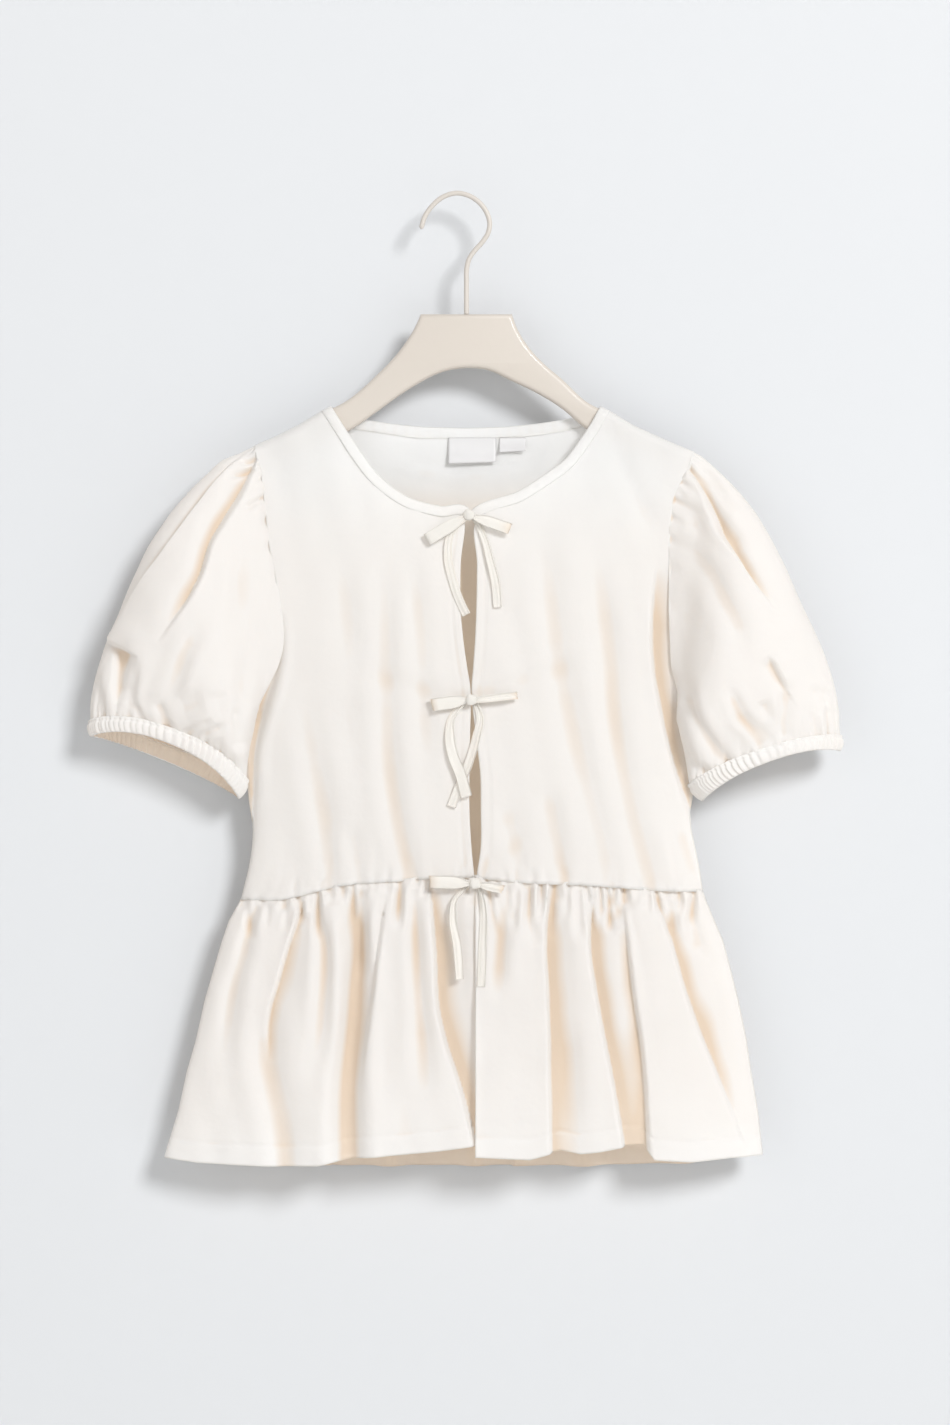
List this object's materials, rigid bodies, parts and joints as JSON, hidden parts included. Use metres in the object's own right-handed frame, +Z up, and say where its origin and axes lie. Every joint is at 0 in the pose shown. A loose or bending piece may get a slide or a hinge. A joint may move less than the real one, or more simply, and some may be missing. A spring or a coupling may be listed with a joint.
{
  "type": "puff sleeve top on a clothes hanger",
  "caption": "Cotton puff sleeve top with tied front and gathered peplum, hanging flat on a board hanger with a wire hook.",
  "frame": {"origin": "the point inside the top of the hook where it rests on a rail, peg or wall hook", "axes": "+Z up, -Y the garment's front towards the viewer, +X to the viewer's right"},
  "size_m": [0.6017, 0.0707, 0.7832],
  "materials": {
    "cream_cotton": "matt plain-weave cotton, off-white, lightly pressed",
    "white_satin_tape": "white satin label tape, bare",
    "beige_lacquer": "opaque matt beige lacquer on a pressed wood-fibre board",
    "beige_painted_wire": "beige painted steel wire"
  },
  "bodies": {
    "root": {"front_left": "cream_cotton", "front_right": "cream_cotton", "back": "cream_cotton", "sleeve_left": "cream_cotton", "sleeve_right": "cream_cotton", "cuff_left": "cream_cotton", "cuff_right": "cream_cotton", "peplum_front_left": "cream_cotton", "peplum_front_right": "cream_cotton", "peplum_back": "cream_cotton", "neck_binding": "cream_cotton", "tie_top_knot": "cream_cotton", "tie_top_left": "cream_cotton", "tie_top_right": "cream_cotton", "tie_middle_knot": "cream_cotton", "tie_middle_left": "cream_cotton", "tie_middle_right": "cream_cotton", "tie_waist_knot": "cream_cotton", "tie_waist_left": "cream_cotton", "tie_waist_right": "cream_cotton", "neck_label": "white_satin_tape", "size_label": "white_satin_tape", "hanger_board": "beige_lacquer", "hanger_hook": "beige_painted_wire"}
  },
  "joints": []
}
